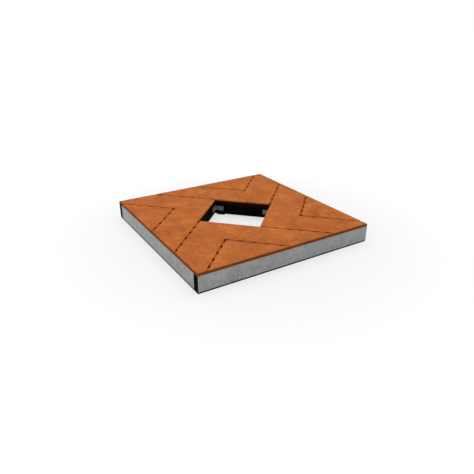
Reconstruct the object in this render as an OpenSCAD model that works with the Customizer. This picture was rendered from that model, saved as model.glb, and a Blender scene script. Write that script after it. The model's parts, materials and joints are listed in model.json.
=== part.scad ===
// Square tree grate: eight lift-out cover plates in a pinwheel of chevrons and
// triangles, on a channel frame with a reciprocal ring of beams round the tree.
// Origin: centre of the footprint, on the ground. +Z is up, the sides face X and Y.

/* [Overall] */
// Outside length of each side of the square
side = 1500; // [1200:10:1800]
// Clear width of the square tree opening, between opposite plate edges
opening_w = 500; // [420:4:560]
// Height of the rubber strips and pads on the ground
ground_pad_h = 12; // [8:1:20]

/* [Channels] */
// Height of the rolled channel used for rails and main beams
channel_h = 120; // [100:1:140]
// Width of the channel flanges
channel_b = 55; // [45:1:65]
// Thickness of the channel web
web_t = 7; // [5:0.5:9]
// Thickness of the channel flanges
flange_t = 9; // [7:0.5:11]
// Radius where web and flange meet
root_r = 9; // [5:0.5:11]
// Rounding of the flange tips on the inside
toe_r = 4.5; // [2:0.5:6]

/* [Cover plates] */
// Thickness of the cover plates
plate_t = 12; // [8:1:16]
// Width of the open joint between neighbouring plates
joint_gap = 16; // [8:0.5:20]
// Width of the turned-down lip along the outer edges
lip_w = 10; // [6:1:14]
// Height left between the lip and the rail
lip_clear = 0.4; // [0.3:0.1:1]

/* [Joint spacers] */
// Distance between the spacers along a joint
spacer_pitch = 100; // [80:5:120]
// Length of each spacer block
spacer_l = 60; // [40:1:70]
// Depth of the spacer tops below the walking surface
spacer_drop = 2; // [1:0.5:4]
// Running clearance between a spacer and the next plate
spacer_clear = 1; // [0.5:0.1:1.5]
// Distance from the rim to the inner end of the outermost spacer in a main joint
main_spacer_end = 26; // [20:1:60]
// Distance from the rim to the inner end of the outermost spacer in a triangle's joint
leg_spacer_end = 52; // [20:1:60]
// Distance of the spacers' cut ends behind the rim
spacer_edge = 2; // [1:0.5:8]

/* [Sub-frame] */
// Clear width of the beam ring round the tree
ring_w = 520; // [510:2:600]
// Leg of the ledge angle bolted along each main joint
ledge_a = 60; // [50:1:70]
// Thickness of the ledge angle
ledge_t = 6; // [5:0.5:8]
// Width of the rectangular tube bearers under the triangle joints
bearer_w = 100; // [80:1:120]
// Height of the tube bearers
bearer_h = 50; // [40:1:60]
// Wall of the tube bearers
bearer_wall = 4; // [3:0.5:6]
// Outside corner radius of the tube bearers
bearer_r = 8; // [6:0.5:12]
// Thickness of the plates welded across beam ends
end_plate_t = 8; // [6:1:12]
// How far an end plate stands past its beam on each side
end_plate_rim = 12; // [6:1:18]
// Length of the short leg of the corner end plates, along the other rail
corner_return = 60; // [30:5:90]
// Thickness of the gussets welded inside the frame corners
gusset_t = 8; // [5:1:10]
// Clearance between the gussets, the rails' root fillets and the corner end plates
gusset_clear = 2; // [1:0.5:4]
// Clearance between a ledge angle and the steel at its ends
ledge_clear = 3; // [2:0.5:6]

/* [Inner corner cleats] */
// Length of each leg of the cleats in the ring's corners
cleat_leg = 80; // [70:1:95]
// Thickness of the cleats
cleat_t = 8; // [6:0.5:10]
// Height of the cleats
cleat_h = 40; // [34:1:56]
// Height of the cleats above the underside of the beams
cleat_rise = 34; // [30:1:44]
// Distance from the cleat's heel to its bolts
cleat_gauge = 45; // [40:1:50]

/* [Fasteners] */
// Nominal diameter of the frame bolts
bolt_d = 12; // [10:1:14]
// Width across flats of bolt heads and nuts
bolt_af = 18; // [16:1:20]
// Diameter of the flat left on a chamfered hexagon, as a share of its width
hex_face = 0.95; // [0.9:0.01:0.98]
// Height of the bolt heads
head_h = 7.5; // [6:0.5:9]
// Height of the nuts
nut_h = 10; // [8:0.5:12]
// Outside diameter of the washers
washer_d = 24; // [22:1:28]
// Thickness of the washers
washer_t = 2.5; // [1.5:0.5:3.5]
// Thread standing out past a nut
thread_out = 3; // [2:0.5:6]
// Extra diameter of the bolt holes
hole_clear = 1.5; // [1:0.1:2]
// Extra diameter of the washers' holes
washer_clear = 1; // [0.5:0.1:1.5]
// Extra diameter of the nuts' bore
thread_clear = 0.2; // [0.1:0.1:0.4]
// Number of bolts through each ledge angle
ledge_bolt_count = 3; // [2:1:4]
// Distance of the outermost ledge bolts from the ends of the angle's full section
ledge_bolt_end = 28; // [20:1:50]
// Distance of the ledge bolts below the top of the beams
ledge_gauge = 35; // [30:1:40]
// Diameter of the anchor holes in the lower flanges of the long rails
anchor_hole_d = 14; // [12:1:18]
// Distance of the anchor holes from the ends of the long rails
anchor_inset = 240; // [220:5:300]

/* [Pads, caps and lugs] */
// Height of the rubber bearing pads under the cover plates
bearing_h = 8; // [6:0.5:12]
// Length of a bearing pad
bearing_l = 60; // [40:1:70]
// Width of a bearing pad
bearing_w = 26; // [20:1:30]
// Distance between a joint and the pads nearest to it, along the steel
bearing_end = 25; // [15:1:30]
// Distance between a plate's edge and the pads beside it
bearing_edge = 5; // [3:0.5:6]
// Width of the ground strips under the rails
strip_w = 50; // [40:1:52]
// Distance of the ground strips behind the rails' outer faces
strip_edge = 2; // [1:0.5:4]
// Gap between the ends of neighbouring ground strips
strip_gap = 2; // [1:0.5:5]
// Length of a ground pad under the ring
ground_pad_l = 80; // [60:1:100]
// Width of a ground pad under the ring
ground_pad_w = 46; // [30:1:50]
// Distance from the opening's corners to the ground pads under the ring
ground_pad_end = 10; // [5:1:30]
// Thickness of the end cap's face
cap_t = 3; // [2:0.5:5]
// Depth of the end cap's plug inside the channel
cap_plug = 14; // [10:1:20]
// Wall of the plug
cap_wall = 3; // [2:0.5:4]
// Clearance between the plug and the channel
cap_clear = 0.3; // [0.2:0.1:0.5]
// Length of a locating lug
lug_l = 40; // [30:1:50]
// Thickness of a locating lug
lug_t = 8; // [5:1:10]
// Depth of a locating lug below the plate
lug_h = 26; // [18:1:34]
// Play between a locating lug and the steel that it stands beside
lug_clear = 1.5; // [1:0.1:3]

/* [Hidden] */
$fn = 48;

CORTEN = "#b5652f";
GALVANISED = "#969b9d";
BLACK_STEEL = "#1b1b1c";
RUBBER = "#121212";
ZINC = "#b9bcbe";
BLACK_PLASTIC = "#161617";

// Levels
frame_z = ground_pad_h;
frame_top = frame_z + channel_h;
plate_z = frame_top + bearing_h;
plate_top = plate_z + plate_t;

// Plan geometry. Each quarter is drawn in axes turned by 45 degrees: p runs from
// the opening's centre towards the back right corner, q towards the back left one.
diag = sqrt(2);
half = side / 2;
rail_in = half - channel_b;
ring_half = ring_w / 2;
ring_out = ring_half + channel_b;
open_half = opening_w / 2;
main_line = open_half - joint_gap / 2;
leg_p = side * diag / 4;
leg_q = leg_p - 2 * main_line;
corner_reach = half * diag;
mitre = rail_in - end_plate_t;

// Where the joints meet the back rail, and where beams land on it, along X
main_x = diag * main_line - half;
leg_a_x = diag * leg_p - half;
leg_b_x = half - diag * leg_q;
beam_land = [diag * ring_half - mitre, diag * ring_out - mitre];
short_land = [diag * (leg_p - bearer_w / 2) - mitre, diag * (leg_p + bearer_w / 2) - mitre];
long_land = [mitre - diag * (leg_q + bearer_w / 2), mitre - diag * (leg_q - bearer_w / 2)];

// Lengths along the diagonal axes, to the mitred ends
beam_end_q = diag * mitre - ring_half;
ledge_end_q = beam_end_q - ledge_clear * diag;
long_end_p = diag * mitre - leg_q;
short_end_q = diag * mitre - leg_p;

bolt_hole = bolt_d + hole_clear;
pad_in = bearing_l / 2 + bearing_end;
pad_row = bearing_w / 2 + joint_gap / 2 + bearing_edge;
ledge_bolt_z = frame_top - ledge_gauge;
ledge_start = ring_out + ledge_clear;
ledge_bolt_span = ledge_end_q - ledge_a - ledge_start - 2 * ledge_bolt_end;
ledge_bolts = [
    for (i = [0 : ledge_bolt_count - 1])
        ledge_start + ledge_bolt_end + i * ledge_bolt_span / (ledge_bolt_count - 1)
];
cleat_z = frame_z + cleat_rise;
cleat_bolt_z = cleat_z + cleat_h / 2;
cleat_bolt = ring_half - cleat_gauge;

function mid(r) = (r[0] + r[1]) / 2;

module quarter(k) { rotate([0, 0, 90 * k]) children(); }
module diagonal() { rotate([0, 0, 45]) children(); }

// A block between two opposite corners
module block(a, b) { translate(a) cube(b - a); }

// Drill for a hole that starts at z = 0, run past both faces
module drill(d, depth) {
    overrun = 1;
    translate([0, 0, -overrun]) cylinder(d = d, h = depth + 2 * overrun);
}

// Everything within a square of half width limit, as beams are mitred to the rails
module cut_at(limit) {
    intersection() {
        children();
        linear_extrude(frame_top) square(2 * limit, center = true);
    }
}

// Room between the flanges of a channel, drawn back by inset on every side
module channel_room(inset) {
    r = root_r;
    x0 = web_t + inset;
    y0 = flange_t + inset;
    h = channel_h - 2 * y0;
    translate([x0 + r, y0]) square([channel_b - inset - x0 - r, h]);
    translate([x0, y0 + r]) square([2 * r, h - 2 * r]);
    for (y = [y0 + r, y0 + h - r]) translate([x0 + r, y]) circle(r);
}

// What is cut away to round an outer corner that lies at +x, +y
module toe_cut(r) {
    difference() {
        square(2 * r);
        circle(r);
    }
}

// Channel section: x from the back of the web, y up
module channel_section() {
    difference() {
        square([channel_b, channel_h]);
        channel_room(0);
        translate([channel_b - toe_r, flange_t - toe_r]) toe_cut(toe_r);
        translate([channel_b - toe_r, channel_h - flange_t + toe_r]) mirror([0, 1]) toe_cut(toe_r);
    }
}

// Equal angle section, heel at the origin, with a filleted root and rounded toes
module angle_section(leg, t) {
    toe = t / 2;
    difference() {
        union() {
            square([leg, t]);
            square([t, leg]);
            square(2 * t);
        }
        translate([2 * t, 2 * t]) circle(t);
        translate([leg - toe, t - toe]) toe_cut(toe);
        translate([t - toe, leg - toe]) toe_cut(toe);
    }
}

// Rectangle with round corners
module rounded(w, h, r) {
    translate([r, 0]) square([w - 2 * r, h]);
    translate([0, r]) square([w, h - 2 * r]);
    for (x = [r, w - r], y = [r, h - r]) translate([x, y]) circle(r);
}

module tube_section() {
    inner_r = bearer_r - bearer_wall;
    difference() {
        rounded(bearer_w, bearer_h, bearer_r);
        translate([bearer_wall, bearer_wall])
            rounded(bearer_w - 2 * bearer_wall, bearer_h - 2 * bearer_wall, inner_r);
    }
}

// Rails of the outer frame

module rail(length) {
    translate([-length / 2, -half, frame_z]) rotate([90, 0, 90]) linear_extrude(length) channel_section();
}

// Both anchor places of the front rail, in the middle of its flange's flat
module at_anchors() {
    for (s = [-1, 1])
        translate([s * (half - anchor_inset), mid([web_t + root_r, channel_b]) - half, 0]) children();
}

// Full-length rail, with anchor holes through its lower flange
module long_rail() {
    color(GALVANISED) difference() {
        rail(side - 2 * cap_t);
        translate([0, 0, frame_z]) at_anchors() drill(anchor_hole_d, flange_t);
    }
}

module cross_rail() {
    color(GALVANISED) rail(2 * rail_in);
}

// Cap that closes a channel end: a face plate and a hollow plug
module end_cap() {
    color(BLACK_PLASTIC) translate([-half, -half, frame_z]) rotate([90, 0, 90]) {
        linear_extrude(cap_t) square([channel_b, channel_h]);
        linear_extrude(cap_t + cap_plug) difference() {
            channel_room(cap_clear);
            channel_room(cap_clear + cap_wall);
        }
    }
}

module end_caps() {
    for (k = [0, 2]) quarter(k) {
        end_cap();
        mirror([1, 0, 0]) end_cap();
    }
}

// Gusset plates against the inner faces of the flanges, two in each corner
module corner_gussets() {
    heel = half - web_t - root_r - gusset_clear;
    leg = 2 * (heel - rail_in - gusset_clear);
    levels = [frame_z + flange_t, frame_top - flange_t - gusset_t];
    color(GALVANISED) for (k = [0:3], z = levels)
        quarter(k) translate([heel, heel, z])
            linear_extrude(gusset_t) polygon([[0, 0], [-leg, 0], [0, -leg]]);
}

// Reciprocal ring of main beams

module main_beam(k) {
    length = beam_end_q + ring_half;
    color(BLACK_STEEL) quarter(k) difference() {
        cut_at(mitre) diagonal()
            translate([ring_half, beam_end_q, frame_z]) rotate([90, 0, 0])
                linear_extrude(length) channel_section();
        diagonal() web_holes();
    }
}

// Bolt holes in the web: one for each cleat leg and a row for the ledge angle
module web_holes() {
    for (q = [-cleat_bolt, cleat_bolt])
        translate([ring_half, q, cleat_bolt_z]) rotate([0, 90, 0]) drill(bolt_hole, web_t);
    for (q = ledge_bolts)
        translate([ring_half, q, ledge_bolt_z]) rotate([0, 90, 0]) drill(bolt_hole, web_t);
}

// Angle on the back of the web, level with the beam, that carries the next plate's edge
module ledge_angle(k) {
    length = ledge_end_q - ledge_start + ledge_a;
    color(BLACK_STEEL) quarter(k) difference() {
        cut_at(mitre - ledge_clear) diagonal()
            translate([ring_half, ledge_start + length, frame_top]) rotate([90, 180, 0])
                linear_extrude(length) angle_section(ledge_a, ledge_t);
        diagonal() at_ledge_bolts() drill(bolt_hole, ledge_t);
    }
}

// Tube from the ring to the back rail, under the triangle's joint along p
module long_bearer(k) {
    start = ring_out + end_plate_t;
    color(BLACK_STEEL) quarter(k) cut_at(mitre) diagonal()
        translate([start, leg_q - bearer_w / 2, frame_top - bearer_h]) rotate([90, 0, 90])
            linear_extrude(long_end_p + bearer_w - start) tube_section();
}

// Tube from the long bearer to the back rail, under the triangle's joint along q
module short_bearer(k) {
    start = leg_q + bearer_w / 2;
    stop = short_end_q + bearer_w;
    color(BLACK_STEEL) quarter(k) cut_at(mitre) diagonal()
        translate([leg_p - bearer_w / 2, stop, frame_top - bearer_h]) rotate([90, 0, 0])
            linear_extrude(stop - start) tube_section();
}

// Plates welded across the beam ends, bridging the flange tips that they meet; the
// one at the long bearer turns round the frame's inner corner
module beam_end_plates() {
    color(BLACK_STEEL) for (k = [0:3]) quarter(k) {
        for (land = [beam_land, short_land])
            block([land[0] - end_plate_rim, mitre, frame_z], [land[1] + end_plate_rim, rail_in, frame_top]);
        block([long_land[0] - end_plate_rim, mitre, frame_z], [rail_in, rail_in, frame_top]);
        block([mitre, mitre - corner_return, frame_z], [rail_in, mitre, frame_top]);
        diagonal() block([ring_out, leg_q - bearer_w / 2 - end_plate_rim, frame_z],
                         [ring_out + end_plate_t, leg_q + bearer_w / 2 + end_plate_rim, frame_top]);
    }
}

// Fasteners

// Hexagon with its corners chamfered at 30 degrees on the lower face
module hexagon(h) {
    corner_r = bolt_af / 2 / cos(30);
    rim_r = bolt_af / 2 * hex_face;
    drop = (corner_r - rim_r) * tan(30);
    intersection() {
        cylinder(r = corner_r, h = h, $fn = 6);
        rotate_extrude() polygon([[0, 0], [rim_r, 0], [corner_r, drop], [corner_r, h], [0, h]]);
    }
}

// Hexagon chamfered on both faces
module double_hexagon(h) {
    hexagon(h / 2);
    translate([0, 0, h]) mirror([0, 0, 1]) hexagon(h / 2);
}

module washer() {
    difference() {
        cylinder(d = washer_d, h = washer_t);
        drill(bolt_d + washer_clear, washer_t);
    }
}

// Bolt along +Z whose head bears on a washer at z = 0; grip is the steel it clamps
module bolt(grip) {
    shank = washer_t + grip + washer_t + nut_h + thread_out;
    point = thread_out / 2;
    translate([0, 0, -washer_t - head_h]) hexagon(head_h);
    translate([0, 0, -washer_t - head_h / 2]) cylinder(d = bolt_d, h = head_h / 2 + shank - point);
    translate([0, 0, shank - washer_t - point]) cylinder(d1 = bolt_d, d2 = bolt_d - 2 * point, h = point);
}

// The washers on both faces and the nut
module nut_and_washers(grip) {
    translate([0, 0, -washer_t]) washer();
    translate([0, 0, grip]) washer();
    translate([0, 0, grip + washer_t]) difference() {
        double_hexagon(nut_h);
        drill(bolt_d + thread_clear, nut_h);
    }
}

// Cleats that tie each beam's end to the web of the next one

module corner_cleats() {
    color(ZINC) for (k = [0:3]) quarter(k) diagonal() difference() {
        translate([ring_half, ring_half, cleat_z]) rotate([0, 0, 180])
            linear_extrude(cleat_h) angle_section(cleat_leg, cleat_t);
        at_cleat_bolts() drill(bolt_hole, cleat_t);
    }
}

// Both bolt places of a cleat, with +Z running from the ring's inside into the web
module at_cleat_bolts() {
    face = ring_half - cleat_t;
    translate([face, cleat_bolt, cleat_bolt_z]) rotate([0, 90, 0]) children();
    translate([cleat_bolt, face, cleat_bolt_z]) rotate([-90, 0, 0]) children();
}

module cleat_bolts() {
    color(ZINC) for (k = [0:3]) quarter(k) diagonal() at_cleat_bolts() bolt(cleat_t + web_t);
}

module cleat_nuts() {
    color(ZINC) for (k = [0:3]) quarter(k) diagonal() at_cleat_bolts() nut_and_washers(cleat_t + web_t);
}

module at_ledge_bolts() {
    for (q = ledge_bolts)
        translate([ring_half - ledge_t, q, ledge_bolt_z]) rotate([0, 90, 0]) children();
}

module ledge_bolts() {
    color(ZINC) for (k = [0:3]) quarter(k) diagonal() at_ledge_bolts() bolt(ledge_t + web_t);
}

module ledge_nuts() {
    color(ZINC) for (k = [0:3]) quarter(k) diagonal() at_ledge_bolts() nut_and_washers(ledge_t + web_t);
}

// Rubber strips and pads

// Ground strips under the rails; the long ones are drilled for the anchors
module ground_strips() {
    outer = half - strip_edge;
    inner = outer - strip_w;
    short_end = inner - strip_gap;
    color(RUBBER) for (k = [0, 2]) {
        quarter(k) difference() {
            block([-outer, -outer, 0], [outer, -inner, ground_pad_h]);
            at_anchors() drill(anchor_hole_d, ground_pad_h);
        }
        quarter(k + 1) block([-short_end, -outer, 0], [short_end, -inner, ground_pad_h]);
    }
}

// Ground pad with round ends, its length along X
module ground_pad() {
    r = ground_pad_w / 2;
    linear_extrude(ground_pad_h) {
        square([ground_pad_l - 2 * r, ground_pad_w], center = true);
        for (s = [-1, 1]) translate([s * (ground_pad_l / 2 - r), 0]) circle(r);
    }
}

// Pads under each main beam, at the opening's corner and half way to the rail
module ground_pads() {
    places = [ring_half - ground_pad_l / 2 - ground_pad_end, mid([ring_out, beam_end_q])];
    color(RUBBER) for (k = [0:3], q = places)
        quarter(k) diagonal() translate([ring_half + channel_b / 2, q, 0]) rotate([0, 0, 90]) ground_pad();
}

// Bearing pad centred on a point, its length along X or Y
module pad_x(x, y) {
    translate([x - bearing_l / 2, y - bearing_w / 2, frame_top]) cube([bearing_l, bearing_w, bearing_h]);
}
module pad_y(x, y) {
    translate([x - bearing_w / 2, y - bearing_l / 2, frame_top]) cube([bearing_w, bearing_l, bearing_h]);
}

// Pads on the back rail, on the main beam and its ledge, and on both bearers
module bearing_pads(k) {
    rail_y = mid([rail_in, half - lip_w]);
    rail_pads = [
        -rail_in + pad_in, main_x - pad_in, main_x + pad_in, mid([main_x, leg_a_x]), leg_a_x - pad_in,
        leg_a_x + pad_in, mid([leg_a_x, leg_b_x]), leg_b_x - pad_in
    ];
    beam_stop = beam_end_q - channel_b - pad_in;
    ledge_row = main_line - pad_row;
    color(RUBBER) quarter(k) {
        for (x = rail_pads) pad_x(x, rail_y);
        diagonal() {
            for (q = [-main_line + pad_in, 0, main_line - pad_in, ring_out + pad_in, beam_stop])
                pad_y(ring_half + channel_b / 2, q);
            for (q = [ledge_start + pad_in, beam_stop]) pad_y(ledge_row, q);
            for (p = [mid([ring_out, leg_p]), leg_p + 2 * pad_in, long_end_p - 3 * pad_in])
                pad_x(p, leg_q - pad_row);
            for (p = [leg_p + 2 * pad_in, long_end_p - 3 * pad_in]) pad_x(p, leg_q + pad_row);
            for (q = [leg_q + bearer_w / 2 + pad_in, short_end_q - pad_in]) pad_y(leg_p - pad_row, q);
            for (q = [leg_q + bearer_w / 2 + pad_in, short_end_q - 2 * pad_in]) pad_y(leg_p + pad_row, q);
        }
    }
}

// Cover plates

// Square footprint of the grate, drawn back by inset, in diagonal axes
module footprint(inset) { rotate(-45) square(side - 2 * inset, center = true); }

// Everything beyond a corner point, towards +p and +q
module beyond(p, q) { translate([p, q]) square(2 * side); }

module chevron_outline() {
    intersection() {
        footprint(0);
        difference() {
            beyond(open_half, joint_gap - open_half);
            beyond(leg_p - joint_gap / 2, leg_q - joint_gap / 2);
        }
    }
}

module triangle_outline() {
    intersection() {
        footprint(0);
        beyond(leg_p + joint_gap / 2, leg_q + joint_gap / 2);
    }
}

// Flat plate with a lip turned down along its outer edges
module cover_plate() {
    lip_h = bearing_h - lip_clear;
    translate([0, 0, plate_z]) linear_extrude(plate_t) children();
    translate([0, 0, plate_z - lip_h]) linear_extrude(lip_h) difference() {
        children();
        footprint(lip_w);
    }
}

module chevron_plate(k) {
    color(CORTEN) quarter(k) diagonal() cover_plate() chevron_outline();
}

module triangle_plate(k) {
    color(CORTEN) quarter(k) diagonal() cover_plate() triangle_outline();
}

// Spacer block in a joint whose far edge lies at y = 0, centred at x
module spacer(x) {
    translate([x - spacer_l / 2, spacer_clear - joint_gap, plate_z])
        cube([spacer_l, joint_gap - spacer_clear, plate_t - spacer_drop]);
}

// Spacers set out from the joint's outer end at the rim, as many as its length takes
module spacer_row(inner, outer, end) {
    for (x = [outer - end + spacer_l / 2 : -spacer_pitch : inner + spacer_l / 2]) spacer(x);
}

// Cuts off the spacers that would reach past the rim
module cut_at_rim() {
    intersection() {
        children();
        translate([0, 0, plate_z]) linear_extrude(plate_t) footprint(spacer_edge);
    }
}

module chevron_spacers(k) {
    color(CORTEN) quarter(k) diagonal() cut_at_rim() translate([0, joint_gap - open_half, 0])
        spacer_row(main_line, corner_reach - main_line, main_spacer_end);
}

module triangle_spacers(k) {
    color(CORTEN) quarter(k) diagonal() cut_at_rim() {
        translate([0, leg_q + joint_gap / 2, 0])
            spacer_row(leg_p, corner_reach - leg_q, leg_spacer_end);
        translate([leg_p + joint_gap / 2, 0, 0]) mirror([1, -1, 0])
            spacer_row(leg_q, corner_reach - leg_p, leg_spacer_end);
    }
}

// Locating lug standing along X, its outer face at y = 0
module lug() {
    translate([-lug_l / 2, -lug_t, plate_z - lug_h]) cube([lug_l, lug_t, lug_h]);
}

// Lugs inside the rails hold a chevron in, and one behind the ring beam holds it out
module chevron_lugs(k) {
    between = mid([beam_land[1], short_land[0]]);
    color(CORTEN) quarter(k) {
        translate([between, rail_in - lug_clear, 0]) lug();
        translate([rail_in - lug_clear, -mid([-half, main_x]), 0]) rotate([0, 0, -90]) lug();
        diagonal() translate([ring_out + lug_clear, -main_line / 2, 0]) rotate([0, 0, 90]) lug();
    }
}

module triangle_lugs(k) {
    span = long_land[0] - short_land[1];
    bearer_q = leg_q + bearer_w / 2;
    bearer_p = leg_p + bearer_w / 2;
    color(CORTEN) quarter(k) {
        for (f = [0.25, 0.75]) translate([short_land[1] + f * span, rail_in - lug_clear, 0]) lug();
        diagonal() {
            translate([mid([bearer_p, long_end_p]), bearer_q + lug_clear + lug_t, 0]) lug();
            translate([bearer_p + lug_clear, mid([bearer_q, short_end_q]), 0]) rotate([0, 0, 90]) lug();
        }
    }
}

long_rail();  // rail_front
quarter(1) cross_rail();  // rail_right
quarter(2) long_rail();  // rail_back
quarter(3) cross_rail();  // rail_left
end_caps();
corner_gussets();
beam_end_plates();
corner_cleats();
cleat_bolts();
cleat_nuts();
ledge_bolts();
ledge_nuts();
ground_strips();
ground_pads();
main_beam(0);  // main_beam_back
main_beam(1);  // main_beam_left
main_beam(2);  // main_beam_front
main_beam(3);  // main_beam_right
ledge_angle(0);  // ledge_angle_back
ledge_angle(1);  // ledge_angle_left
ledge_angle(2);  // ledge_angle_front
ledge_angle(3);  // ledge_angle_right
long_bearer(0);  // long_bearer_back
long_bearer(1);  // long_bearer_left
long_bearer(2);  // long_bearer_front
long_bearer(3);  // long_bearer_right
short_bearer(0);  // short_bearer_back
short_bearer(1);  // short_bearer_left
short_bearer(2);  // short_bearer_front
short_bearer(3);  // short_bearer_right
bearing_pads(0);  // bearing_pads_back
bearing_pads(1);  // bearing_pads_left
bearing_pads(2);  // bearing_pads_front
bearing_pads(3);  // bearing_pads_right
chevron_plate(0);  // chevron_plate_back
chevron_plate(1);  // chevron_plate_left
chevron_plate(2);  // chevron_plate_front
chevron_plate(3);  // chevron_plate_right
chevron_spacers(0);  // chevron_spacers_back
chevron_spacers(1);  // chevron_spacers_left
chevron_spacers(2);  // chevron_spacers_front
chevron_spacers(3);  // chevron_spacers_right
chevron_lugs(0);  // chevron_lugs_back
chevron_lugs(1);  // chevron_lugs_left
chevron_lugs(2);  // chevron_lugs_front
chevron_lugs(3);  // chevron_lugs_right
triangle_plate(0);  // triangle_plate_back
triangle_plate(1);  // triangle_plate_left
triangle_plate(2);  // triangle_plate_front
triangle_plate(3);  // triangle_plate_right
triangle_spacers(0);  // triangle_spacers_back
triangle_spacers(1);  // triangle_spacers_left
triangle_spacers(2);  // triangle_spacers_front
triangle_spacers(3);  // triangle_spacers_right
triangle_lugs(0);  // triangle_lugs_back
triangle_lugs(1);  // triangle_lugs_left
triangle_lugs(2);  // triangle_lugs_front
triangle_lugs(3);  // triangle_lugs_right
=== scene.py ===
"""Looks of the square tree grate.

Finishes for the CAD's pieces, rounded edges, weld beads and bolt threads, in a white studio
with the photo's camera."""

import json
import math

import bpy
from mathutils import Matrix, Vector


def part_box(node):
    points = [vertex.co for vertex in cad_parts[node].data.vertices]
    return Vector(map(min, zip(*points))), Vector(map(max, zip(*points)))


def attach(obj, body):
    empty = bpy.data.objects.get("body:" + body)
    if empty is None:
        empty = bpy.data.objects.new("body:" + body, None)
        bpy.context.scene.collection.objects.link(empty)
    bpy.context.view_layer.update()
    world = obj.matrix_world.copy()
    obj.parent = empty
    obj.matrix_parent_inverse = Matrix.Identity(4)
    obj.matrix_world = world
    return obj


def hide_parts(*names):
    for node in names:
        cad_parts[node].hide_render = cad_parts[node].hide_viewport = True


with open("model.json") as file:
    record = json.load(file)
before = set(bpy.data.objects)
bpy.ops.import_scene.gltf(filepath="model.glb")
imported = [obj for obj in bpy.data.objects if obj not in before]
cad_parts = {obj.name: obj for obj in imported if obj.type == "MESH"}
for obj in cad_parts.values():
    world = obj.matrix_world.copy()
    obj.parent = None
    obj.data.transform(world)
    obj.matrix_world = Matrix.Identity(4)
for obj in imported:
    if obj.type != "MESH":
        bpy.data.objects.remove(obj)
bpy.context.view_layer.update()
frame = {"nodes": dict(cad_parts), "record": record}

MM = 0.001
DIAGONAL = math.sqrt(2)
QUARTERS = ("back", "left", "front", "right")
BODIES = frame["record"]["behaviour"]["bodies"]
BODY_OF = {node: body for body, nodes in BODIES.items() for node in nodes}
SLOT_OF = {row["node"]: row["material_slot"] for row in frame["record"]["subparts"]}

# Levels and plan sizes, in metres, read from the frame. The ring stands on the axes p and q,
# which are X and Y turned by 45 degrees.
RAIL_LOW, RAIL_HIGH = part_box("rail_left")
HALF, RAIL_INNER = -RAIL_LOW[0], -RAIL_HIGH[0]
FRAME_BOTTOM, FRAME_TOP = RAIL_LOW[2], RAIL_HIGH[2]
FLANGE_W = HALF - RAIL_INNER
RING_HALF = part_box("corner_cleats")[1][0] / DIAGONAL
RING_OUT = RING_HALF + FLANGE_W

# Sizes that repeat the CAD's, under the CAD's names
WEB_T = 7 * MM
FLANGE_T = 9 * MM
END_PLATE_T = 8 * MM
END_PLATE_RIM = 12 * MM
BEARER_W = 100 * MM
BEARER_H = 50 * MM
MAIN_LINE = 242 * MM
LEG_P = HALF / DIAGONAL
LEG_Q = LEG_P - 2 * MAIN_LINE
MITRE = RAIL_INNER - END_PLATE_T
LEDGE_A = 60 * MM
LEDGE_CLEAR = 3 * MM
LEDGE_GAUGE = 35 * MM
LEDGE_BOLT_END = 28 * MM
CLEAT_GAUGE = 45 * MM
CLEAT_BOLT_Z = 66 * MM
WASHER_T = 2.5 * MM
NUT_H = 10 * MM


# Camera and lights

def place_camera():
    """The photo's camera, solved from the corners of the square top."""
    data = bpy.data.cameras.new("camera")
    data.lens = 35.015
    data.sensor_width = 36
    camera = bpy.data.objects.new("camera", data)
    bpy.context.collection.objects.link(camera)
    camera.location = (-1.86237, -3.03540, 1.62035)
    camera.rotation_euler = (math.radians(64.471), 0, math.radians(-31.645))
    bpy.context.scene.camera = camera


def soft_light(name, place, target, size, power):
    data = bpy.data.lights.new(name, "AREA")
    data.shape = "SQUARE"
    data.size = size
    data.energy = power
    lamp = bpy.data.objects.new(name, data)
    bpy.context.collection.objects.link(lamp)
    lamp.location = place
    aim = Vector(target) - Vector(place)
    lamp.rotation_euler = aim.to_track_quat("-Z", "Y").to_euler()


def light_studio():
    soft_light("overhead", place=(0.3, 0.6, 4.2), target=(0, 0, 0), size=4.5, power=95)
    soft_light("left_side", place=(-4.5, -1.2, 2.2), target=(0, 0, 0.1), size=2.5, power=40)


# Shader building

class Val:
    """A shader socket that takes part in Python arithmetic."""

    def __init__(self, nodes, socket):
        self.nodes = nodes
        self.socket = socket

    def _math(self, operation, *values):
        return self.nodes.node("ShaderNodeMath", {"operation": operation}, dict(enumerate(values)))

    def __add__(self, other): return self._math("ADD", self, other)
    def __radd__(self, other): return self._math("ADD", other, self)
    def __sub__(self, other): return self._math("SUBTRACT", self, other)
    def __rsub__(self, other): return self._math("SUBTRACT", other, self)
    def __mul__(self, other): return self._math("MULTIPLY", self, other)
    def __rmul__(self, other): return self._math("MULTIPLY", other, self)

    def __abs__(self): return self._math("ABSOLUTE", self)

    def most(self, other):
        return self._math("MAXIMUM", self, other)


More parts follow.
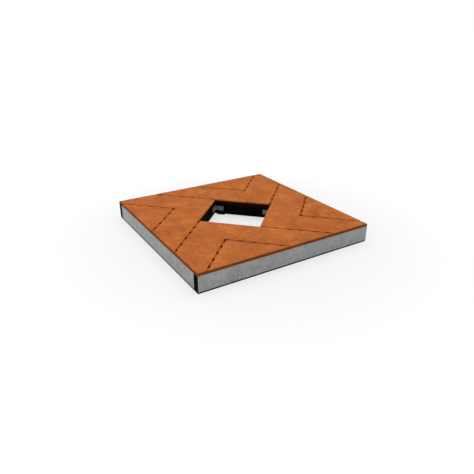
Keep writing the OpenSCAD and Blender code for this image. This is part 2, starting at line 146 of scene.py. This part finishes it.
class Nodes:
    """A node tree under construction."""

    def __init__(self, tree):
        self.tree = tree

    def node(self, kind, settings, values, output=0):
        """Adds a node, sets it, then fills or links its sockets, and returns one output."""
        made = self.tree.nodes.new(kind)
        for name, value in settings.items():
            if name == "stops":
                ramp = made.color_ramp
                while len(ramp.elements) < len(value):
                    ramp.elements.new(0.5)
                for stop, (position, colour) in zip(ramp.elements, value):
                    stop.position = position
                    stop.color = colour
            else:
                setattr(made, name, value)
        for name, value in values.items():
            self.feed(made.inputs[name], value)
        return Val(self, made.outputs[output]) if made.outputs else None

    def feed(self, socket, value):
        if isinstance(value, Val):
            self.tree.links.new(value.socket, socket)
        else:
            socket.default_value = value

    def step(self, value, low, high):
        """0 below low, 1 above high and a smooth rise between them."""
        return self.node("ShaderNodeMapRange", {"interpolation_type": "SMOOTHSTEP"}, {
            "Value": value, "From Min": low, "From Max": high})

    def mix(self, amount, first, second):
        """The first colour at amount 0 and the second at 1."""
        first, second = (v if isinstance(v, Val) else (*v, 1) for v in (first, second))
        return self.node("ShaderNodeMix", {"data_type": "RGBA"}, {
            0: amount, 6: first, 7: second}, 2)

    def seen_directly(self):
        """1 for the camera and for what gloss and glass show of the surroundings."""
        camera, gloss, glass = (self.node("ShaderNodeLightPath", {}, {}, ray) for ray in (
            "Is Camera Ray", "Is Glossy Ray", "Is Transmission Ray"))
        return camera.most(gloss).most(glass)


class Finish(Nodes):
    """One material, with patterns in metres on Object coordinates."""

    def __init__(self, name):
        self.material = bpy.data.materials.new(name)
        self.material.use_nodes = True
        super().__init__(self.material.node_tree)
        self.shader = next(n for n in self.tree.nodes if n.type == "BSDF_PRINCIPLED")
        self.place = self.node("ShaderNodeTexCoord", {}, {}, "Object")

    def moved(self, scale=(1, 1, 1), turn=(0, 0, 0), shift=(0, 0, 0)):
        return self.node("ShaderNodeMapping", {}, {
            "Vector": self.place, "Scale": scale, "Rotation": turn, "Location": shift})

    def noise(self, size, detail, rough, where=None):
        """Noise whose patches are about size metres across, from 0 to 1."""
        return self.node("ShaderNodeTexNoise", {}, {
            "Vector": where or self.place, "Scale": 1 / size,
            "Detail": detail, "Roughness": rough})

    def cells(self, size, channel=0):
        """Cells about size metres across, each with its own value from 0 to 1."""
        colour = self.node(
            "ShaderNodeTexVoronoi", {}, {"Vector": self.place, "Scale": 1 / size}, "Color")
        return self.node("ShaderNodeSeparateColor", {}, {"Color": colour}, channel)

    def axes(self, vector):
        """The three parts of a vector."""
        split = self.node("ShaderNodeSeparateXYZ", {}, {"Vector": vector})
        return [Val(self, split.socket.node.outputs[axis]) for axis in "XYZ"]

    def facing_up(self):
        """1 on faces that look up, 0 on the rest."""
        normal = self.node("ShaderNodeTexCoord", {}, {}, "Normal")
        return self.step(self.axes(normal)[2], 0.5, 0.9)

    def height(self):
        """Height above the floor at rest, in metres."""
        return self.axes(self.place)[2]

    def beyond(self, half, where=None):
        """Distance outside a square of this half width, in metres."""
        x, y, _ = self.axes(where or self.place)
        return abs(x).most(abs(y)) - half

    def ramp(self, value, *stops):
        """The colours of the stops, each a position and a colour, blended by value."""
        stops = [(position, (*colour, 1)) for position, colour in stops]
        return self.node("ShaderNodeValToRGB", {"stops": stops}, {"Fac": value})

    def bump(self, height, depth, strength):
        return self.node("ShaderNodeBump", {}, {
            "Height": height, "Distance": depth, "Strength": strength})

    def finish(self, **sockets):
        for name, value in sockets.items():
            self.feed(self.shader.inputs[name.replace("_", " ")], value)
        return self.material


def srgb(*colour):
    """Linear colour of an sRGB colour given from 0 to 255."""
    return tuple(c / 255 / 12.92 if c <= 10.3 else ((c / 255 + 0.055) / 1.055) ** 2.4
                 for c in colour)


def tinted(colour, tint):
    return tuple(c * t for c, t in zip(colour, tint))


# Finishes

# Stops of the ramps: each one's position and its sRGB colour
RUST_TONES = ((0.37, (142, 76, 36)), (0.445, (164, 90, 41)), (0.50, (179, 100, 45)),
              (0.56, (192, 110, 50)), (0.65, (206, 125, 60)))
ZINC_TONES = ((0.36, (116, 118, 118)), (0.46, (138, 139, 138)), (0.54, (151, 151, 150)),
              (0.66, (169, 168, 166)))
ZINC_LIGHTNESS = 1.03
PLATED_TONES = ((0.35, (150, 149, 147)), (0.5, (176, 175, 172)), (0.65, (196, 194, 188)))


def rusted_steel(name, rim_shade, tint=(1, 1, 1), lift=None):
    """Rust patina: fine grain over hand-sized clouds, with darker blooms and specks.

    The rim_shade amount paints shade along the outer edges, as a darker band. A lift brightens the
    cut edges round the tree opening, where light reaches them."""
    f = Finish(name)

    def rusty(*colour):
        return tinted(srgb(*colour), tint)

    clouds = f.noise(0.16, 5, 0.6)
    blotches = f.noise(0.026, 5, 0.68)
    grain = f.noise(0.005, 5, 0.7)
    speckle = f.noise(0.0022, 3, 0.7)
    tone = clouds * 0.46 + blotches * 0.34 + grain * 0.20
    rust = f.ramp(tone, *((position, rusty(*colour)) for position, colour in RUST_TONES))
    redder = f.step(f.noise(0.09, 5, 0.65, f.moved(shift=(3, 1, 0))), 0.46, 0.62)
    rust = f.mix(redder * 0.5, rust, rusty(176, 90, 50))
    yellower = f.step(f.noise(0.05, 4, 0.6, f.moved(shift=(1, 5, 2))), 0.54, 0.70)
    rust = f.mix(yellower * 0.4, rust, rusty(200, 120, 48))
    bloom = f.step(f.noise(0.06, 6, 0.7), 0.58, 0.72) * f.step(grain, 0.40, 0.60)
    rust = f.mix(bloom * 0.45, rust, rusty(124, 62, 34))
    rust = f.mix(f.step(speckle, 0.54, 0.66) * 0.5, rust, rusty(128, 68, 36))
    dust = f.step(f.noise(0.003, 3, 0.7, f.moved(shift=(4, 4, 1))), 0.54, 0.66)
    rust = f.mix(dust * 0.45, rust, rusty(226, 146, 82))
    # Painted shade: a darker band within about 4 to 14 mm of the grate's outer edges.
    from_edge = f.noise(0.03, 3, 0.6) * 0.008 - f.beyond(HALF)
    wear_and_rim_shade = 1 - f.step(from_edge, 0.004, 0.014)
    rust = f.mix(wear_and_rim_shade * rim_shade, rust, srgb(78, 48, 32))
    if lift:
        from_opening = f.beyond(RING_HALF, f.moved(turn=(0, 0, math.radians(45))))
        lifted = f.node("ShaderNodeVectorMath", {"operation": "MULTIPLY"}, {0: rust, 1: lift})
        rust = f.mix(1 - f.step(from_opening, 0, 0.01), rust, lifted)
    height = grain * 0.6 + speckle * 0.7 + blotches * 0.4
    return f.finish(
        Base_Color=rust,
        Roughness=0.82 + (grain - 0.5) * 0.2,
        Normal=f.bump(height, 0.0012, 0.6),
        Specular_IOR_Level=0.05)


def galvanised_steel():
    """Hot-dip zinc: crystals about 5 to 11 mm wide under broad dull clouds.

    Rust has washed over it just under the plates."""
    f = Finish("galvanised_steel")

    def dull(*colour):
        return srgb(*(c * ZINC_LIGHTNESS for c in colour))

    crystal = f.cells(0.011)
    fine_crystal = f.cells(0.005, 1)
    clouds = f.noise(0.16, 4, 0.6)
    mottle = f.noise(0.035, 4, 0.6)
    streaks = f.noise(0.05, 3, 0.55, f.moved(scale=(1, 1, 0.35)))
    tone = clouds * 0.32 + mottle * 0.24 + streaks * 0.18 + crystal * 0.16 + fine_crystal * 0.1
    zinc = f.ramp(tone, *((position, dull(*colour)) for position, colour in ZINC_TONES))
    cooler = f.step(f.noise(0.2, 3, 0.5, f.moved(shift=(7, 2, 5))), 0.42, 0.62)
    zinc = f.mix(cooler * 0.55, zinc, dull(136, 144, 145))
    warmer = f.step(f.noise(0.14, 3, 0.5, f.moved(shift=(2, 9, 4))), 0.52, 0.68)
    zinc = f.mix(warmer * 0.45, zinc, dull(152, 146, 139))
    brown_near_top = f.step(f.height() + (streaks - 0.5) * 0.03, FRAME_TOP - 0.026, FRAME_TOP + 0.002)
    zinc = f.mix(brown_near_top * 0.22, zinc, srgb(136, 100, 78))
    return f.finish(
        Base_Color=zinc,
        Metallic=0.5,
        Roughness=0.55 + (crystal - 0.5) * 0.12 + (clouds - 0.5) * 0.2,
        Normal=f.bump(streaks * 0.5 + mottle * 0.3 + crystal * 0.2, 0.0004, 0.5))


def black_coating(name, wear=0.0):
    """Black coating on steel, faintly uneven.

    Rust lies on the faces that look up and in streaks down the sides, and the coating turns
    browner towards the frame's top."""
    f = Finish(name)
    peel = f.noise(0.004, 3, 0.5)
    patches = f.noise(0.05, 5, 0.65)
    colour = f.mix(f.step(patches, 0.5, 0.75) * 0.3, srgb(6, 6, 6), srgb(19, 16, 13))
    washed = f.facing_up() * f.step(patches, 0.3, 0.65)
    colour = f.mix(washed * 0.6, colour, srgb(122, 64, 30))
    runs = f.step(f.noise(0.018, 4, 0.6, f.moved(scale=(1, 1, 0.12))), 0.56, 0.78)
    colour = f.mix(runs * 0.3, colour, srgb(52, 30, 18))
    # Browner towards the frame's top.
    brown_near_top = f.step(f.height() + (patches - 0.5) * 0.05, FRAME_TOP - 0.055, FRAME_TOP)
    colour = f.mix(brown_near_top * 0.5, colour, srgb(38, 26, 19))
    if wear:
        chipped = f.step(f.noise(0.006, 4, 0.7), 0.40, 0.58)
        colour = f.mix(chipped * wear, colour, srgb(112, 72, 52))
    return f.finish(
        Base_Color=colour,
        Roughness=0.62 + washed * 0.25,
        Normal=f.bump(peel, 0.0003, 0.5),
        Specular_IOR_Level=0.004)


def black_rubber_and_contact_shadow():
    """Pressed rubber granules, a few of them paler. On the ground strips under the rails this
    black is a painted contact shadow.
    """
    f = Finish("black_rubber_and_contact_shadow")
    granule = f.cells(0.0022)
    grain = f.noise(0.0015, 3, 0.6)
    dust = f.step(f.noise(0.02, 4, 0.65), 0.5, 0.8)
    paler = f.step(granule, 0.75, 1.0) * 0.4 + dust * 0.2
    return f.finish(
        Base_Color=f.mix(paler, srgb(9, 9, 9), srgb(34, 33, 32)),
        Roughness=0.9 + (grain - 0.5) * 0.1,
        Normal=f.bump(granule * 0.5 + grain * 0.5, 0.0004, 0.6),
        Specular_IOR_Level=0.03)


def black_plastic():
    """Moulded plastic with a spark-eroded grain, scuffed in places."""
    f = Finish("black_plastic")
    grain = f.noise(0.0009, 2, 0.6)
    wear_and_rim_shade = f.step(f.noise(0.03, 4, 0.65), 0.55, 0.8)
    return f.finish(
        Base_Color=f.mix(wear_and_rim_shade * 0.25, srgb(3, 3, 3), srgb(13, 13, 14)),
        Roughness=0.6 + wear_and_rim_shade * 0.2,
        Normal=f.bump(grain, 0.00015, 0.5),
        Specular_IOR_Level=0.008)


def zinc_plate(name, lightness=1.0, brown_streaks=0.0):
    """Plated zinc of bolts and nuts. A lightness under 1 paints shade, for the cleats and their
    bolts, and brown_streaks tints it brown in upright streaks.
    """
    f = Finish(name)
    cloud = f.noise(0.012, 4, 0.6)
    grain = f.noise(0.0015, 3, 0.6)
    tones = ((position, tinted(srgb(*tone), (lightness,) * 3)) for position, tone in PLATED_TONES)
    colour = f.ramp(cloud * 0.7 + grain * 0.3, *tones)
    if brown_streaks:
        streak_pattern = f.noise(0.02, 4, 0.65, f.moved(scale=(1, 1, 0.3)))
        colour = f.mix(f.step(streak_pattern, 0.3, 0.62) * brown_streaks, colour, srgb(92, 58, 44))
    return f.finish(
        Base_Color=colour,
        Metallic=0.8 - brown_streaks * 0.6,
        Roughness=0.42 + brown_streaks * 0.3 + (grain - 0.5) * 0.2,
        Normal=f.bump(grain, 0.0002, 0.5))


SLOT_FINISHES = {
    "corten": rusted_steel("rusted_face", rim_shade=0.8),
    "galvanised": galvanised_steel(),
    "black_steel": black_coating("black_coating"),
    "zinc": zinc_plate("zinc_plate"),
    # Rubber for the pads, and for the ground strips under the rails: black strips where there is
    # only shade, a painted contact shadow.
    "rubber": black_rubber_and_contact_shadow(),
    "black_plastic": black_plastic(),
}
# Painted shade: a darker copy of the rust for the plates' cut edges and the lug welds under them,
# brightened again round the tree opening.
CUT_EDGE_SHADE_RUST = rusted_steel(
    "rusted_cut_edge_painted_shade", rim_shade=0.5, tint=(0.66, 0.50, 0.28), lift=(1.5, 1.8, 2.8))
# Painted shade: a darker copy of the rust for the spacers, whose tops lie recessed in the joints.
SPACER_SHADE_RUST = rusted_steel("rusted_spacer_top_painted_shade", rim_shade=0.6, tint=(0.76, 0.58, 0.35))
# Painted light: a lighter, more orange copy of the rust for the spacers' walls deep in the joints.
SLOT_WALL_LIGHT_RUST = rusted_steel("rusted_slot_wall_painted_light", rim_shade=0.85, tint=(1.6, 1.12, 0.65))
WORN_WELD = black_coating("worn_weld", wear=0.6)
NODE_FINISHES = {
    # Painted shade: the cleats and their bolts, deep in the tree opening, get darker copies of the
    # plated zinc, with brown streaks.
    "corner_cleats": zinc_plate("cleat_zinc_painted_shade", lightness=0.45, brown_streaks=0.75),
    "cleat_bolts": zinc_plate("cleat_bolt_zinc_painted_shade", lightness=0.45, brown_streaks=0.4),
}


def finish_of(node):
    if "_spacers_" in node:
        return SPACER_SHADE_RUST
    return NODE_FINISHES.get(node, SLOT_FINISHES[SLOT_OF[node]])


def finish_cad_nodes():
    """Gives each CAD node its finish, for those that no rounded piece replaces."""
    for node, piece in frame["nodes"].items():
        piece.data.materials.clear()
        piece.data.materials.append(finish_of(node))


# Modelling helpers

def activate(piece):
    bpy.ops.object.select_all(action="DESELECT")
    piece.select_set(True)
    bpy.context.view_layer.objects.active = piece


def apply_modifier(piece, kind, **settings):
    activate(piece)
    modifier = piece.modifiers.new(kind.lower(), kind)
    for name, value in settings.items():
        setattr(modifier, name, value)
    bpy.ops.object.modifier_apply(modifier=modifier.name)


def twin(piece):
    """A copy of a piece with a mesh of its own."""
    copy = piece.copy()
    copy.data = piece.data.copy()
    bpy.context.collection.objects.link(copy)
    return copy


def joined(pieces, name):
    """Joins pieces into one object, its place in its mesh."""
    bpy.ops.object.select_all(action="DESELECT")
    for piece in pieces:
        piece.select_set(True)
    bpy.context.view_layer.objects.active = pieces[0]
    bpy.ops.object.join()
    bpy.ops.object.transform_apply(location=True, rotation=True, scale=True)
    whole = bpy.context.object
    whole.name = whole.data.name = name
    return whole


def add_piece(piece, body, finish):
    piece.data.materials.clear()
    piece.data.materials.append(finish)
    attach(piece, body)


def quarter_turn(k):
    return Matrix.Rotation(math.radians(90 * k), 4, "Z")


def diagonal_turn(k):
    """From the axes p and q of quarter k to X and Y."""
    return Matrix.Rotation(math.radians(90 * k + 45), 4, "Z")


# Pieces with rounded edges

SAME_POINT = 0.01 * MM
SAME_PLANE = math.radians(1)
SHARP_EDGE = math.radians(50)
SMOOTH_EDGE = math.radians(35)
EDGE_WIDTHS = {
    "chevron_plate": 1.2 * MM, "triangle_plate": 1.2 * MM, "chevron_spacers": 0.6 * MM,
    "triangle_spacers": 0.6 * MM, "rail": 0.8 * MM, "end_caps": 0.8 * MM,
    "corner_cleats": 0.6 * MM, "ground_strips": 1.5 * MM, "ground_pads": 1.5 * MM,
    "bearing_pads": 1 * MM, "beam_end_plates": 0.8 * MM, "corner_gussets": 0.8 * MM,
    "chevron_lugs": 0.8 * MM, "triangle_lugs": 0.8 * MM, "cleat_bolts": 0.4 * MM,
    "cleat_nuts": 0.4 * MM, "ledge_bolts": 0.4 * MM, "ledge_nuts": 0.4 * MM,
}


def merged_copy(node, name):
    """A copy of a CAD node with its corners merged and its flat faces whole."""
    mesh = frame["nodes"][node].data.copy()
    piece = bpy.data.objects.new(name, mesh)
    bpy.context.collection.objects.link(piece)
    activate(piece)
    bpy.ops.object.mode_set(mode="EDIT")
    bpy.ops.mesh.select_all(action="SELECT")
    bpy.ops.mesh.remove_doubles(threshold=SAME_POINT)
    bpy.ops.mesh.dissolve_limited(angle_limit=SAME_PLANE)
    bpy.ops.object.mode_set(mode="OBJECT")
    return piece


def round_edges(node, width):
    """The CAD node's shape with its sharp edges rounded, in place of the node."""
    piece = merged_copy(node, node + "_finished")
    apply_modifier(piece, "BEVEL", width=width, segments=2, limit_method="ANGLE",
                   angle_limit=SHARP_EDGE)
    bpy.ops.object.shade_smooth_by_angle(angle=SMOOTH_EDGE)
    add_piece(piece, BODY_OF[node], finish_of(node))
    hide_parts(node)
    return piece


def finish_walls(piece, finish):
    """Gives the faces that look sideways a finish of their own."""
    piece.data.materials.append(finish)
    for face in piece.data.polygons:
        if abs(face.normal.z) < 0.5:
            face.material_index = 1


def round_all_edges():
    for node in frame["nodes"]:
        kind = next((kind for kind in EDGE_WIDTHS if node.startswith(kind)), None)
        if kind:
            piece = round_edges(node, EDGE_WIDTHS[kind])
            if kind in ("chevron_plate", "triangle_plate"):
                # The plates' sideways faces get the darker copy of the rust: painted shade.
                finish_walls(piece, CUT_EDGE_SHADE_RUST)
            elif kind.endswith("spacers"):
                # The spacers' sideways faces get the lighter copy of the rust: painted light.
                finish_walls(piece, SLOT_WALL_LIGHT_RUST)


# Welds

TUBE_LOW = FRAME_TOP - BEARER_H
BEAD_R = 2.8 * MM
BEAD_PITCH = 3 * MM
RIPPLE_LENGTH = 1.4 * BEAD_PITCH
RIPPLE_TAPER = 0.62
RIPPLE_BEVEL = 0.5 * MM
SHORTEST_LUG_SEAM = 20 * MM


def weld_ripple():
    """One ripple of a bead: a short round that tapers along +Z into the next."""
    bpy.ops.mesh.primitive_cylinder_add(vertices=8, radius=BEAD_R, depth=RIPPLE_LENGTH)
    ripple = bpy.context.object
    bpy.ops.object.mode_set(mode="EDIT")
    bpy.ops.mesh.select_all(action="DESELECT")
    bpy.ops.object.mode_set(mode="OBJECT")
    for face in ripple.data.polygons:
        face.select = face.normal.z > 0.9
    bpy.ops.object.mode_set(mode="EDIT")
    bpy.ops.transform.resize(value=(RIPPLE_TAPER, RIPPLE_TAPER, 1))
    bpy.ops.mesh.select_all(action="SELECT")
    bpy.ops.mesh.bevel(offset=RIPPLE_BEVEL, segments=1, affect="EDGES")
    bpy.ops.object.mode_set(mode="OBJECT")
    return ripple


def weld(ripple, seam):
    """Overlapping ripples along a seam, from its start to its end."""
    start, end = (Vector(point) for point in seam)
    run = end - start
    count = max(2, round(run.length / BEAD_PITCH))
    bead = twin(ripple)
    apply_modifier(bead, "ARRAY", count=count, use_relative_offset=False,
                   use_constant_offset=True,
                   constant_offset_displace=(0, 0, run.length / (count - 1)))
    bead.location = start
    bead.rotation_euler = run.to_track_quat("Z", "Y").to_euler()
    bpy.ops.object.transform_apply(location=True, rotation=True, scale=True)
    return bead


def weld_turned(ripple, seams, turn):
    """The beads of these seams, turned into place."""
    beads = [weld(ripple, seam) for seam in seams]
    for bead in beads:
        bead.matrix_world = turn @ bead.matrix_world
    return beads


def rail_seams():
    """Welds where beams and bearers end on the back rail, in the quarter's own X and Y."""
    low = FRAME_BOTTOM
    web_x = DIAGONAL * RING_HALF - MITRE
    tip_x = DIAGONAL * RING_OUT - MITRE
    web_face_x = DIAGONAL * (RING_HALF + WEB_T) - MITRE
    short_x = [DIAGONAL * (LEG_P + s * BEARER_W / 2) - MITRE for s in (-1, 1)]
    long_x = MITRE - DIAGONAL * (LEG_Q + BEARER_W / 2)
    plates = [(web_x, tip_x), short_x, (long_x, RAIL_INNER - END_PLATE_RIM)]
    seams = [((a - END_PLATE_RIM, RAIL_INNER, low), (b + END_PLATE_RIM, RAIL_INNER, low))
             for a, b in plates]
    seams += [((web_x, MITRE, low), (tip_x, MITRE, low)),
              ((web_x, MITRE, low), (web_x, MITRE, FRAME_TOP)),
              ((web_face_x, MITRE, low + FLANGE_T), (web_face_x, MITRE, FRAME_TOP - FLANGE_T))]
    seams += [((x, MITRE, TUBE_LOW), (x, MITRE, FRAME_TOP)) for x in (*short_x, long_x)]
    seams += [((short_x[0], MITRE, TUBE_LOW), (short_x[1], MITRE, TUBE_LOW)),
              ((long_x, MITRE, TUBE_LOW), (MITRE, MITRE, TUBE_LOW))]
    return seams


def ring_seams():
    """Welds of the long bearer to the ring and of the short one to it, in p and q."""
    face_p = RING_OUT + END_PLATE_T
    near, far = (LEG_Q + s * BEARER_W / 2 for s in (-1, 1))
    ends = [LEG_P + s * BEARER_W / 2 for s in (-1, 1)]
    seams = [((face_p, q, TUBE_LOW), (face_p, q, FRAME_TOP)) for q in (near, far)]
    seams += [((face_p, near, TUBE_LOW), (face_p, far, TUBE_LOW)),
              ((RING_OUT, near - END_PLATE_RIM, FRAME_BOTTOM),
               (RING_OUT, far + END_PLATE_RIM, FRAME_BOTTOM)),
              ((ends[0], far, TUBE_LOW), (ends[1], far, TUBE_LOW))]
    seams += [((p, far, TUBE_LOW), (p, far, FRAME_TOP)) for p in ends]
    return seams


def weld_sub_frame(ripple):
    for k, side in enumerate(QUARTERS):
        beads = weld_turned(ripple, rail_seams(), quarter_turn(k))
        beads += weld_turned(ripple, ring_seams(), diagonal_turn(k))
        add_piece(joined(beads, "sub_frame_welds_" + side), "frame", WORN_WELD)


def weld_lugs(ripple):
    """Welds along both long sides of each lug, where it meets its plate's underside."""
    for node in [name for name in frame["nodes"] if "_lugs_" in name]:
        lugs = merged_copy(node, node + "_outline")
        corners = [vertex.co.copy() for vertex in lugs.data.vertices]
        tops = [face for face in lugs.data.polygons if face.normal.z > 0.9]
        sides = [[corners[i] for i in pair] for face in tops for pair in face.edge_keys]
        bpy.data.objects.remove(lugs)
        beads = [weld(ripple, side) for side in sides
                 if (side[1] - side[0]).length > SHORTEST_LUG_SEAM]
        welds = joined(beads, node.replace("_lugs_", "_lug_welds_"))
        add_piece(welds, BODY_OF[node], CUT_EDGE_SHADE_RUST)


def add_welds():
    ripple = weld_ripple()
    weld_sub_frame(ripple)
    weld_lugs(ripple)
    bpy.data.objects.remove(ripple)


# Bolt threads

BOLT_R = 6 * MM
THREAD_PITCH = 1.75 * MM
THREAD_RIDGE = 0.45 * MM
THREAD_STEPS = 20


def thread_ring():
    """One turn of thread round +Z, from z = 0."""
    bpy.ops.mesh.primitive_circle_add(
        vertices=3, radius=THREAD_RIDGE, location=(BOLT_R, 0, THREAD_RIDGE),
        rotation=(math.radians(90), 0, 0))
    thread = bpy.context.object
    bpy.ops.object.transform_apply(location=True, rotation=True)
    apply_modifier(thread, "SCREW", angle=2 * math.pi, screw_offset=THREAD_PITCH,
                   steps=THREAD_STEPS, render_steps=THREAD_STEPS, use_merge_vertices=True)
    bpy.ops.object.mode_set(mode="EDIT")
    bpy.ops.mesh.select_all(action="SELECT")
    bpy.ops.mesh.fill_holes(sides=3)
    bpy.ops.mesh.normals_make_consistent(inside=False)
    bpy.ops.object.mode_set(mode="OBJECT")
    return thread


def bolt_tips():
    """Where each bolt's thread leaves its nut: turns and places that set +Z along the bolt."""
    nut_end = RING_HALF + WEB_T + WASHER_T + NUT_H
    beside = RING_HALF - CLEAT_GAUGE
    ledge_z = FRAME_TOP - LEDGE_GAUGE
    ledge_end = DIAGONAL * (MITRE - LEDGE_CLEAR) - RING_HALF
    first = RING_OUT + LEDGE_CLEAR + LEDGE_BOLT_END
    last = ledge_end - LEDGE_A - LEDGE_BOLT_END
    along_p = Matrix.Rotation(math.radians(90), 4, "Y")
    along_q = Matrix.Rotation(math.radians(-90), 4, "X")
    spots = [((nut_end, beside, CLEAT_BOLT_Z), along_p),
             ((beside, nut_end, CLEAT_BOLT_Z), along_q)]
    spots += [((nut_end, q, ledge_z), along_p) for q in (first, (first + last) / 2, last)]
    return [diagonal_turn(k) @ Matrix.Translation(place) @ turn
            for k in range(4) for place, turn in spots]


def add_threads():
    thread = thread_ring()
    copies = []
    for tip in bolt_tips():
        copies.append(twin(thread))
        copies[-1].matrix_world = tip
    bpy.data.objects.remove(thread)
    add_piece(joined(copies, "bolt_threads"), "frame", SLOT_FINISHES["zinc"])


# Background

FLOOR_R = 60
FLOOR_ALBEDO = 0.85
FLOOR_ALBEDO_SEEN = 0.28
FLOOR_GLOW_NEAR = 0.605
FLOOR_GLOW_FAR = 1.0
FLOOR_GLOW_REACH = 4.5
SKY_LIGHT = 0.62
SKY_SEEN = 1.0


def floor_finish():
    """Pale floor, seen as white with the grate's soft shadow on it."""
    f = Finish("studio_floor")
    seen = f.seen_directly()
    away = f.node("ShaderNodeVectorMath", {"operation": "LENGTH"}, {0: f.place}, "Value")
    rise = f.step(away, 0, FLOOR_GLOW_REACH) * (FLOOR_GLOW_FAR - FLOOR_GLOW_NEAR)
    glow = seen * (FLOOR_GLOW_NEAR + rise)
    return f.finish(
        Base_Color=f.mix(seen, (FLOOR_ALBEDO,) * 3, (FLOOR_ALBEDO_SEEN,) * 3),
        Roughness=1.0,
        Specular_IOR_Level=0.0,
        Emission_Color=f.node(
            "ShaderNodeCombineColor", {}, {"Red": glow, "Green": glow, "Blue": glow}),
        Emission_Strength=1.0)


def lay_floor():
    bpy.ops.mesh.primitive_circle_add(vertices=96, radius=FLOOR_R, fill_type="NGON")
    floor = bpy.context.object
    floor.name = "studio_floor"
    floor.data.materials.append(floor_finish())


def light_world():
    """Soft light from all round, and a plain white background."""
    world = bpy.data.worlds.new("studio_world")
    bpy.context.scene.world = world
    world.use_nodes = True
    world.node_tree.nodes.clear()
    sky = Nodes(world.node_tree)
    soft, white = (
        sky.node("ShaderNodeBackground", {}, {"Color": (1, 1, 1, 1), "Strength": strength})
        for strength in (SKY_LIGHT, SKY_SEEN))
    surface = sky.node("ShaderNodeMixShader", {}, {0: sky.seen_directly(), 1: soft, 2: white})
    sky.node("ShaderNodeOutputWorld", {}, {"Surface": surface})


bpy.context.scene.view_settings.view_transform = "Standard"
place_camera()
light_studio()
light_world()
lay_floor()

finish_cad_nodes()
round_all_edges()
add_welds()
add_threads()
